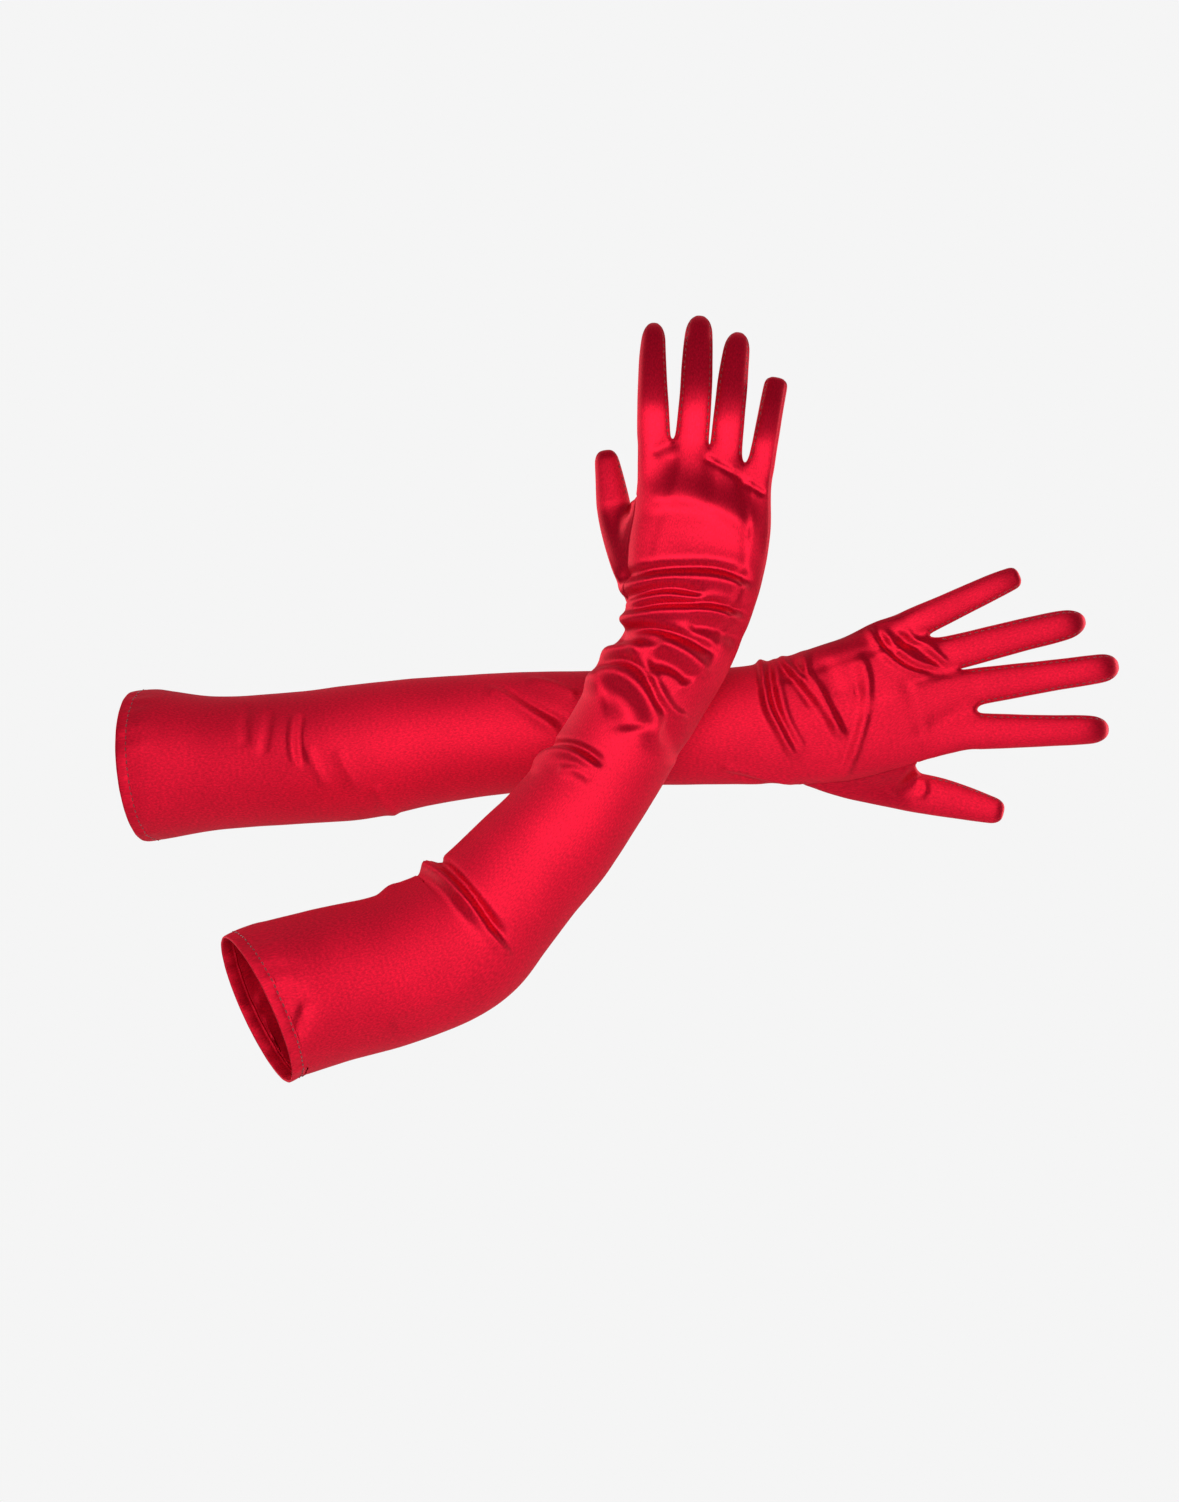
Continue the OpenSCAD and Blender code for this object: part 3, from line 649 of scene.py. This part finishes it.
def press_folds(name, pts, normals, depth):
    """Moves the cloth along its normals by its folds and by a slight unevenness."""
    x, y, z = pts.T
    facing = -normals[:, 1]
    back = ease(facing, -0.45, 0.1)
    palm = ease(-facing, -0.1, 0.35)
    lift = np.zeros(len(x))
    for fold in BACK_FOLDS[name]:
        lift += fold_shape(x, z, fold) * back
    for fold in PALM_FOLDS[name]:
        lift += fold_shape(x, z, fold) * palm
    # cloth that is stretched over an arm is never quite even
    lift += 0.13 * np.sin(x / 13 + 0.6 * np.sin(z / 17)) * np.sin(z / 11 + y / 15)
    lift += 0.05 * np.sin(x / 4.7 + z / 6.1) * np.sin(y / 5.3 - z / 4.9 + x / 9)
    return pts + normals * (lift * depth)[:, None]


def new_object(name, mesh):
    obj = bpy.data.objects.new(name, mesh)
    bpy.context.scene.collection.objects.link(obj)
    return obj


def only(obj):
    bpy.ops.object.select_all(action="DESELECT")
    obj.select_set(True)
    bpy.context.view_layer.objects.active = obj


def smooth_piece(name, points, faces, material, uv=None):
    """A smooth-shaded mesh from points in millimetres, with the cloth's own coordinates."""
    mesh = bpy.data.meshes.new(name)
    mesh.from_pydata([tuple(p) for p in points * MM], [], faces)
    if uv is not None:
        layer = mesh.uv_layers.new(name="Cloth")
        layer.data.foreach_set("uv", np.array([c for u in uv for c in u]).ravel())
    mesh.materials.append(material)
    mesh.polygons.foreach_set("use_smooth", [True] * len(faces))
    mesh.update()
    return new_object(name, mesh)


def subdivide(obj, uv_smooth):
    only(obj)
    bpy.ops.object.modifier_add(type="SUBSURF")
    fine = obj.modifiers[-1]
    fine.levels = fine.render_levels = 1
    fine.uv_smooth = uv_smooth
    bpy.ops.object.modifier_apply(modifier=fine.name)


def vertex_array(mesh, what="co"):
    out = np.empty(len(mesh.vertices) * 3)
    if what == "co":
        mesh.vertices.foreach_get("co", out)
    else:
        mesh.vertex_normals.foreach_get("vector", out)
    return out.reshape(-1, 3)


def whole_glove(name):
    """One glove as a single fine mesh, with its folds, before it is divided into its pieces."""
    sizes = bpy.context.scene.opera_glove_sizes
    cloth = Cloth()
    rings, webs, hole, v = draw_sleeve(cloth, name)
    thumb, thumb_phi = draw_thumb(cloth, name, rings, hole, v)
    fingers = draw_fingers(cloth, name, rings, webs, v[-1])
    relax(cloth)
    if HAND[name] > 0:
        cloth.faces = [tuple(reversed(f)) for f in cloth.faces]
        cloth.uv = [tuple(reversed(u)) for u in cloth.uv]
    mesh = bpy.data.meshes.new(f"{name}_glove")
    mesh.from_pydata([tuple(p) for p in cloth.points], [], [tuple(f) for f in cloth.faces])
    for _ in REGIONS:
        mesh.materials.append(None)
    mesh.polygons.foreach_set("material_index", cloth.region)
    layer = mesh.uv_layers.new(name="Cloth")
    layer.data.foreach_set("uv", np.array([c for u in cloth.uv for c in u]).ravel() * MM)
    seam = mesh.attributes.new("seam", "FLOAT", "POINT")
    values = np.zeros(len(cloth.points), np.float32)
    for i, w in cloth.seams.items():
        values[i] = w
    seam.data.foreach_set("value", values)
    obj = new_object(f"{name}_glove", mesh)
    subdivide(obj, "NONE")
    mesh = obj.data
    pts, normals = vertex_array(mesh), vertex_array(mesh, "normal")
    pts = press_folds(name, pts, normals, sizes.fold_depth)
    weight = np.empty(len(pts), np.float32)
    mesh.attributes["seam"].data.foreach_get("value", weight)
    pts -= normals * (SEAM_DEPTH * weight ** 3)[:, None]
    mesh.vertices.foreach_set("co", pts.ravel())
    mesh.update()
    normals = vertex_array(mesh, "normal")
    paths = seam_paths(fingers, thumb, thumb_phi, pts, normals)
    return obj, pts, normals, paths


def seam_paths(fingers, thumb, thumb_phi, pts, normals):
    """The seams that show a row of stitches, as points and normals along them."""
    paths = {}
    for f, finger in enumerate(FINGERS):
        tube = fingers[finger]
        columns = []
        if f > 0:
            columns += [0, SIDE]
        if f < 3:
            columns += [SIDE + ACROSS, 2 * SIDE + ACROSS]
        paths[finger] = [[r[m] for r in tube[1:-2]] for m in columns]
    back, palm = int(np.argmin(abs(thumb_phi - 216))), int(np.argmin(abs(thumb_phi - 36)))
    paths["thumb"] = [[r[m] for r in thumb[1:-2]] for m in (back, palm)]
    return {k: [(pts[line], normals[line]) for line in lines] for k, lines in paths.items()}


# ---------------------------------------------------------------- pieces cut from the whole
def cut_piece(name, whole, pts, normals, region, material):
    """One piece of the glove, as cloth with a thickness whose edges meet its neighbours'."""
    thick = bpy.context.scene.opera_glove_sizes.cloth_thickness / MM
    mesh = whole.data
    label = np.empty(len(mesh.polygons), np.int32)
    mesh.polygons.foreach_get("material_index", label)
    picked = np.nonzero(label == REGIONS.index(region))[0]
    uv = np.empty(len(mesh.loops) * 2)
    mesh.uv_layers["Cloth"].data.foreach_get("uv", uv)
    uv = uv.reshape(-1, 2)
    corners = [list(mesh.polygons[i].vertices) for i in picked]
    loops = [list(mesh.polygons[i].loop_indices) for i in picked]
    used = sorted({i for f in corners for i in f})
    new = {old: k for k, old in enumerate(used)}
    n = len(used)
    outer, facing = pts[used], normals[used]
    points = np.vstack([outer, outer - facing * thick])
    faces, face_uv, turned = [], [], []
    edges = {}
    for f, l in zip(corners, loops):
        here = [new[i] for i in f]
        faces.append(here)
        face_uv.append([uv[i] for i in l])
        turned.append([facing[i] for i in here])
        faces.append([i + n for i in reversed(here)])
        face_uv.append([uv[i] for i in reversed(l)])
        turned.append([-facing[i] for i in reversed(here)])
        for j in range(len(here)):
            a, b = here[j], here[(j + 1) % len(here)]
            edges[(a, b)] = (l[j], l[(j + 1) % len(here)])
    for (a, b), (la, lb) in edges.items():
        if (b, a) not in edges:
            faces.append([b, a, a + n, b + n])
            face_uv.append([uv[lb], uv[la], uv[la], uv[lb]])
            edge = points[a] - points[b]
            flat = unit(np.cross(edge, points[a + n] - points[a]))
            turned.append([flat] * 4)
    piece = smooth_piece(name, points, faces, material, face_uv)
    piece.data.normals_split_custom_set([tuple(v) for f in turned for v in f])
    piece.data.update()
    return piece


# ---------------------------------------------------------------- materials
FLOAT_WIDTH, FLOAT_LENGTH = 0.0008, 0.0018    # a float of the satin, in metres
PLY = 0.0005           # a ply of the thread


def linear(code):
    """An sRGB hex colour as the linear colour that a shader takes."""
    return [v / 12.92 if v <= 0.04045 else ((v + 0.055) / 1.055) ** 2.4
            for v in shares(code)] + [1.0]


def hex_of(colour):
    return "".join(f"{round(c * 255):02x}" for c in colour[:3])


def shares(code):
    """An sRGB hex colour as the three shares that a colour property takes."""
    return tuple(int(code[i:i + 2], 16) / 255 for i in (0, 2, 4))


def add(tree, kind, settings=None, **links):
    """One node, with its settings, and its inputs set or linked."""
    node = tree.nodes.new(kind)
    for key, value in (settings or {}).items():
        setattr(node, key, value)
    for key, value in links.items():
        place = int(key[1:]) if key[1:].isdigit() else key.replace("_", " ")
        socket = node.inputs[place]
        if isinstance(value, bpy.types.NodeSocket):
            tree.links.new(value, socket)
        else:
            socket.default_value = value
    return node


def blank(name):
    material = bpy.data.materials.new(name)
    material.use_nodes = True
    material.node_tree.nodes.clear()
    return material, material.node_tree


def satin(name, code, roughness):
    """Polyester stretch satin, woven with long floats: a tinted shine that is wide round the glove
    and narrow along it, so that folds flash and fingers that bend back go dark, over a fine grain
    of threads."""
    material, tree = blank(name)
    uv = add(tree, "ShaderNodeUVMap", {"uv_map": "Cloth"})
    # the real floats are about 0.2 mm wide and 1 mm long; drawn coarser so that they show
    threads = add(tree, "ShaderNodeMapping", Vector=uv.outputs[0],
                  Scale=(1 / FLOAT_WIDTH, 1 / FLOAT_LENGTH, 1))
    floats = add(tree, "ShaderNodeTexNoise", Vector=threads.outputs[0], Scale=1.0, Detail=3.0,
                 Roughness=0.7)
    # the dye takes a little unevenly over a few centimetres
    place = add(tree, "ShaderNodeTexCoord")
    cloud = add(tree, "ShaderNodeTexNoise", Vector=place.outputs["Object"], Scale=38.0, Detail=2.0)
    tone = add(tree, "ShaderNodeMix", {"data_type": "RGBA"}, Factor=cloud.outputs["Fac"])
    base = linear(code)
    tone.inputs[6].default_value = [c * 0.90 for c in base[:3]] + [1]
    tone.inputs[7].default_value = [min(1, c * 1.10) for c in base[:3]] + [1]
    grain = add(tree, "ShaderNodeMapRange", Value=floats.outputs["Fac"])
    grain.inputs["From Min"].default_value = 0.3
    grain.inputs["From Max"].default_value = 0.7
    grain.inputs["To Min"].default_value = 0.70
    grain.inputs["To Max"].default_value = 1.22
    shade = add(tree, "ShaderNodeVectorMath", {"operation": "SCALE"}, _0=tone.outputs[2],
                Scale=grain.outputs[0])
    relief = add(tree, "ShaderNodeBump", Height=floats.outputs["Fac"], Strength=0.16,
                 Distance=0.00012)
    # the floats run along the glove, so the shine spreads round it and is narrow along it
    around = add(tree, "ShaderNodeTangent", {"direction_type": "UV_MAP", "uv_map": "Cloth"})
    shiny = add(tree, "ShaderNodeBsdfPrincipled", Base_Color=shade.outputs[0],
                Normal=relief.outputs[0], Tangent=around.outputs[0], Metallic=0.75,
                Roughness=roughness, Anisotropic=0.78, Specular_IOR_Level=0.3)
    add(tree, "ShaderNodeOutputMaterial", Surface=shiny.outputs[0])
    return material


def sewing_thread(name, code):
    """Twisted polyester sewing thread: a duller, deeper red with a ply of 0.5 mm, which sets the
    stitches off from the shiny cloth."""
    material, tree = blank(name)
    place = add(tree, "ShaderNodeTexCoord")
    ply = add(tree, "ShaderNodeTexWave", {"bands_direction": "DIAGONAL"},
              Vector=place.outputs["Object"], Scale=1 / PLY / 6.283, Distortion=0.4)
    relief = add(tree, "ShaderNodeBump", Height=ply.outputs["Fac"], Strength=0.3, Distance=0.0001)
    dull = add(tree, "ShaderNodeBsdfPrincipled", Base_Color=linear(code), Normal=relief.outputs[0],
               Roughness=0.55)
    dull.inputs["Sheen Weight"].default_value = 0.3
    add(tree, "ShaderNodeOutputMaterial", Surface=dull.outputs[0])
    return material


def plain(name, code, roughness):
    """Matt painted board, which gives a pale even ground."""
    material, tree = blank(name)
    place = add(tree, "ShaderNodeTexCoord")
    mottle = add(tree, "ShaderNodeTexNoise", Vector=place.outputs["Object"], Scale=40.0)
    tone = add(tree, "ShaderNodeMix", {"data_type": "RGBA"}, Factor=mottle.outputs["Fac"])
    tone.inputs[6].default_value = linear(code)
    tone.inputs[7].default_value = [c * 0.98 for c in linear(code)[:3]] + [1]
    matt = add(tree, "ShaderNodeBsdfPrincipled", Base_Color=tone.outputs[2], Roughness=roughness)
    add(tree, "ShaderNodeOutputMaterial", Surface=matt.outputs[0])
    return material


def material_of(key):
    colours = bpy.context.scene.opera_glove_colours
    made = {m.name: m for m in bpy.data.materials}
    if key not in made:
        if key == "stretch_satin":
            return satin(key, hex_of(colours.satin), 0.54)
        if key == "turned_hem_satin":
            return satin(key, hex_of(colours.satin), 0.57)
        return sewing_thread(key, hex_of(colours.thread))
    return made[key]


# ---------------------------------------------------------------- joining pieces to bodies
def follow(obj, region):
    """Bakes a piece's placement into its mesh; every region is treated alike."""
    if region == "sleeve":
        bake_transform(obj)
    elif region == "hand":
        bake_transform(obj)
    else:
        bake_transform(obj)


STANDS_FOR = {
    "sleeve": ("upper_sleeve_back", "upper_sleeve_palm_side", "elbow_back", "elbow_palm_side",
               "forearm_back", "forearm_palm_side"),
    "hand": ("wrist_back", "wrist_palm_side", "hand_back", "palm", "finger_roots", "thumb_gore"),
    "thumb": ("thumb_back", "thumb_front"),
    **{f: (f"{f}_back", f"{f}_front", f"{f}_fourchette") for f in FINGERS}}


def one_stitch():
    """A single stitch of thread, a short fat strand with round ends, along X."""
    bpy.ops.object.select_all(action="DESELECT")
    bpy.ops.mesh.primitive_uv_sphere_add(segments=6, ring_count=5, radius=0.5)
    obj = bpy.context.object
    bpy.ops.object.mode_set(mode="EDIT")
    bpy.ops.mesh.select_all(action="SELECT")
    bpy.ops.transform.rotate(value=math.pi / 2, orient_axis="Y", center_override=(0, 0, 0))
    bpy.ops.object.mode_set(mode="OBJECT")
    pts = vertex_array(obj.data)
    faces = [tuple(p.vertices) for p in obj.data.polygons]
    bpy.data.objects.remove(obj)
    pts[:, 0] = np.sign(pts[:, 0]) * np.abs(pts[:, 0] * 2) ** 0.7 / 2
    return pts, faces


def sew(name, lines, sink=0.35):
    """A row of stitches along each line of (points, normals), as one mesh. The thread is drawn
    thicker than real sewing thread, so that it shows."""
    sizes = bpy.context.scene.opera_glove_sizes
    length, gap = sizes.stitch_length / MM, sizes.stitch_gap / MM
    thick = sizes.thread_diameter / MM
    shape, faces = one_stitch()
    all_points, all_faces = [], []
    for points, normals in lines:
        d = np.concatenate([[0], np.cumsum(np.linalg.norm(np.diff(points, axis=0), axis=1))])
        for s in np.arange(1.0, d[-1] - length, length + gap):
            ends = [np.array([np.interp(x, d, points[:, c]) for c in range(3)])
                    for x in (s, s + length)]
            up = unit(np.array([np.interp(s + length / 2, d, normals[:, c]) for c in range(3)]))
            ahead = unit(ends[1] - ends[0])
            across = np.cross(up, ahead)
            middle = (ends[0] + ends[1]) / 2 + up * (thick / 2 - sink)
            base = len(all_points) * len(shape)
            all_points.append(middle + shape[:, :1] * ahead * length
                              + shape[:, 1:2] * across * thick + shape[:, 2:] * up * thick)
            all_faces += [tuple(i + base for i in f) for f in faces]
    return smooth_piece(name, np.vstack(all_points), all_faces, material_of("sewing_thread"))


def make_glove(name):
    """Makes the pieces of one glove; of these, only the hem and its stitches are tied to a body.
    """
    whole, pts, normals, paths = whole_glove(name)
    for region in REGIONS:
        piece = cut_piece(f"{name}_satin_{region}", whole, pts, normals, region,
                          material_of("stretch_satin"))
        companions = []
        if region in DIGITS:
            stitches = sew(f"{name}_{region}_stitches", paths[region])
            follow(stitches, region)
            companions.append(stitches)
        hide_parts(*[f"{name}_{n}" for n in STANDS_FOR[region]])
        if region == "sleeve":
            companions += make_hem(name)
        follow(piece, region)
    bpy.data.objects.remove(whole)


# ---------------------------------------------------------------- hems
def hem_profile(width):
    """The hem's folded band in section: (distance in from the edge, how far out of mid-cloth)."""
    h = HEM_T / 2
    outer = [(0.15, h * 0.75), (0.9, h), (2.5, h * 1.12), (width - 2.6, h),
             (width - STITCH_GROOVE, h * 0.45), (width - 0.7, h * 0.9), (width - 0.1, h * 0.6)]
    return outer + [(x, -y) for x, y in reversed(outer)]


def make_hem(name):
    sizes = bpy.context.scene.opera_glove_sizes
    width = sizes.hem_width / MM
    st = stations_of(name)
    count = 180
    q = np.arange(count) * 360 / count
    profile = hem_profile(width)
    rows = []
    for s, out in profile:
        pts = section(st, np.full(count, s), q, HAND[name], 2.0, grow=out - HEM_T / 2)
        rows.append(gathered(name, pts, s, q))
    n = len(profile)
    points = np.vstack(rows)
    faces, uv = [], []
    step = 2 * math.pi * RIM_R / count
    for i in range(n):
        j = (i + 1) % n
        for k in range(count):
            m = (k + 1) % count
            f = (i * count + k, i * count + m, j * count + m, j * count + k)
            u = ((k * step, i), ((k + 1) * step, i), ((k + 1) * step, i + 1), (k * step, i + 1))
            faces.append(f if HAND[name] < 0 else tuple(reversed(f)))
            uv.append(u if HAND[name] < 0 else tuple(reversed(u)))
    hem = smooth_piece(f"{name}_hem", points, faces, material_of("turned_hem_satin"),
                       np.array(uv) * MM)
    subdivide(hem, "PRESERVE_BOUNDARIES")
    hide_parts(f"{name}_hem_band")
    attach(hem, f"{name}_upper_sleeve")
    # the row of stitches lies in the groove of the band
    s, turn = width - STITCH_GROOVE, np.arange(count + 1) * 360 / count
    line = section(st, np.full(count + 1, s), turn, HAND[name], ROUND["sleeve"], grow=-0.05)
    line = gathered(name, line, s, turn)
    stitches = sew(f"{name}_hem_stitches", [(line, outward_of(name, line))], sink=0.45)
    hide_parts(f"{name}_hem_stitching")
    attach(stitches, f"{name}_upper_sleeve")
    return [hem, stitches]


# ---------------------------------------------------------------- stage
CAMERA_AT = (0.1753, -2.294, 0.1362)
LENS = 104.6


def light(name, place, target, size, power):
    data = bpy.data.lights.new(name, "AREA")
    data.shape = "RECTANGLE"
    data.size, data.size_y = size
    data.energy = power
    lamp = bpy.data.objects.new(name, data)
    bpy.context.scene.collection.objects.link(lamp)
    lamp.location = place
    lamp.rotation_euler = (Vector(target) - Vector(place)).to_track_quat("-Z", "Y").to_euler()


def make_stage():
    scene = bpy.context.scene
    scene.view_settings.view_transform = "Standard"
    camera = bpy.data.cameras.new("camera")
    camera.lens, camera.sensor_width = LENS, 36.0
    eye = bpy.data.objects.new("camera", camera)
    scene.collection.objects.link(eye)
    eye.location, eye.rotation_euler = CAMERA_AT, (math.pi / 2, 0, 0)
    scene.camera = eye
    bpy.ops.object.select_all(action="DESELECT")
    bpy.ops.mesh.primitive_circle_add(vertices=96, radius=1.2, fill_type="NGON",
                                      location=(0.18, 0.1, -0.62))
    floor = bpy.context.object
    floor.name = "floor"
    bpy.ops.object.transform_apply(location=True, rotation=True, scale=True)
    floor.data.materials.append(plain("painted_board", BOARD, 0.8))
    middle = (0.19, 0.08, 0.16)
    light("front", (0.1, -2.5, 0.5), middle, (1.3, 1.2), 33)
    light("right", (1.5, -2.2, 0.6), middle, (0.9, 1.0), 22)
    light("left", (-1.3, -2.2, 0.5), middle, (0.6, 1.0), 13)
    light("rim_left", (-1.5, 1.1, 0.5), middle, (0.7, 1.6), 13)
    light("rim_right", (1.9, 1.0, 0.2), middle, (0.7, 1.6), 13)
    world = bpy.data.worlds.new("studio")
    scene.world = world
    world.use_nodes = True
    tree = world.node_tree
    tree.nodes.clear()
    seen = add(tree, "ShaderNodeBackground", Color=linear(BACKDROP), Strength=1.0)
    place = add(tree, "ShaderNodeTexCoord")
    split = add(tree, "ShaderNodeSeparateXYZ", Vector=place.outputs["Generated"])
    behind = add(tree, "ShaderNodeMapRange", {"interpolation_type": "SMOOTHSTEP"},
                 Value=split.outputs["Y"])
    behind.inputs["From Min"].default_value = -0.3
    behind.inputs["From Max"].default_value = 0.6
    behind.inputs["To Min"].default_value = 0.05
    behind.inputs["To Max"].default_value = 0.5
    room = add(tree, "ShaderNodeBackground", Color=(1, 1, 1, 1), Strength=behind.outputs[0])
    path = add(tree, "ShaderNodeLightPath")
    mix = add(tree, "ShaderNodeMixShader", _0=path.outputs["Is Camera Ray"], _1=room.outputs[0],
              _2=seen.outputs[0])
    add(tree, "ShaderNodeOutputWorld", Surface=mix.outputs[0])


# ---------------------------------------------------------------- add-on
class OperaGloveSizes(bpy.types.PropertyGroup):
    """Sizes of the cloth and its sewing"""
    cloth_thickness: bpy.props.FloatProperty(
        name="Satin", description="Thickness of one layer of satin", default=0.0006,
        unit="LENGTH")
    hem_width: bpy.props.FloatProperty(
        name="Hem", description="Width of the turned hem at each cuff", default=0.008,
        unit="LENGTH")
    fold_depth: bpy.props.FloatProperty(
        name="Folds", description="How deep the folds are, against the usual", default=1.0,
        min=0.0, max=1.3, subtype="FACTOR")
    stitch_length: bpy.props.FloatProperty(
        name="Stitch", description="Length of one stitch", default=0.0022, unit="LENGTH")
    stitch_gap: bpy.props.FloatProperty(
        name="Stitch gap", description="Gap between two stitches", default=0.0014, unit="LENGTH")
    thread_diameter: bpy.props.FloatProperty(
        name="Thread", description="Diameter of the sewing thread", default=0.0008,
        unit="LENGTH")


class OperaGloveColours(bpy.types.PropertyGroup):
    """Colours of the gloves, as sRGB"""
    satin: bpy.props.FloatVectorProperty(
        name="Satin", description="Colour of the satin", default=shares(SATIN_RED),
        size=3, min=0.0, max=1.0, subtype="COLOR_GAMMA")
    thread: bpy.props.FloatVectorProperty(
        name="Thread", description="Colour of the sewing thread",
        default=shares(THREAD_RED), size=3, min=0.0, max=1.0, subtype="COLOR_GAMMA")


class MakeRightGlove(bpy.types.Operator):
    """Make the right glove's satin, folds, hem and seams"""
    bl_idname = "opera_gloves.right_glove"
    bl_label = "Right glove"

    def execute(self, context):
        make_glove("right")
        return {"FINISHED"}


class MakeLeftGlove(bpy.types.Operator):
    """Make the left glove's satin, folds, hem and seams"""
    bl_idname = "opera_gloves.left_glove"
    bl_label = "Left glove"

    def execute(self, context):
        make_glove("left")
        return {"FINISHED"}


class MakeStage(bpy.types.Operator):
    """Make the camera, the lights and the floor"""
    bl_idname = "opera_gloves.stage"
    bl_label = "Stage"

    def execute(self, context):
        make_stage()
        return {"FINISHED"}


MAKERS = (MakeStage, MakeRightGlove, MakeLeftGlove)


class OperaGlovePanel(bpy.types.Panel):
    """Sizes, colours and pieces of the gloves"""
    bl_idname = "VIEW3D_PT_opera_gloves"
    bl_label = "Opera gloves"
    bl_space_type = "VIEW_3D"
    bl_region_type = "UI"
    bl_category = "Opera gloves"

    def draw(self, context):
        column = self.layout.column()
        for group in (context.scene.opera_glove_sizes, context.scene.opera_glove_colours):
            for prop in group.bl_rna.properties:
                if prop.identifier not in ("rna_type", "name"):
                    column.prop(group, prop.identifier)
        for maker in MAKERS:
            column.operator(maker.bl_idname)


CLASSES = (OperaGloveSizes, OperaGloveColours, *MAKERS, OperaGlovePanel)


def register():
    for cls in CLASSES:
        bpy.utils.register_class(cls)
    bpy.types.Scene.opera_glove_sizes = bpy.props.PointerProperty(type=OperaGloveSizes)
    bpy.types.Scene.opera_glove_colours = bpy.props.PointerProperty(type=OperaGloveColours)


def unregister():
    del bpy.types.Scene.opera_glove_colours
    del bpy.types.Scene.opera_glove_sizes
    for cls in reversed(CLASSES):
        bpy.utils.unregister_class(cls)


def main():
    register()
    bpy.ops.opera_gloves.stage()
    bpy.ops.opera_gloves.right_glove()
    bpy.ops.opera_gloves.left_glove()


if __name__ == "__main__":
    main()
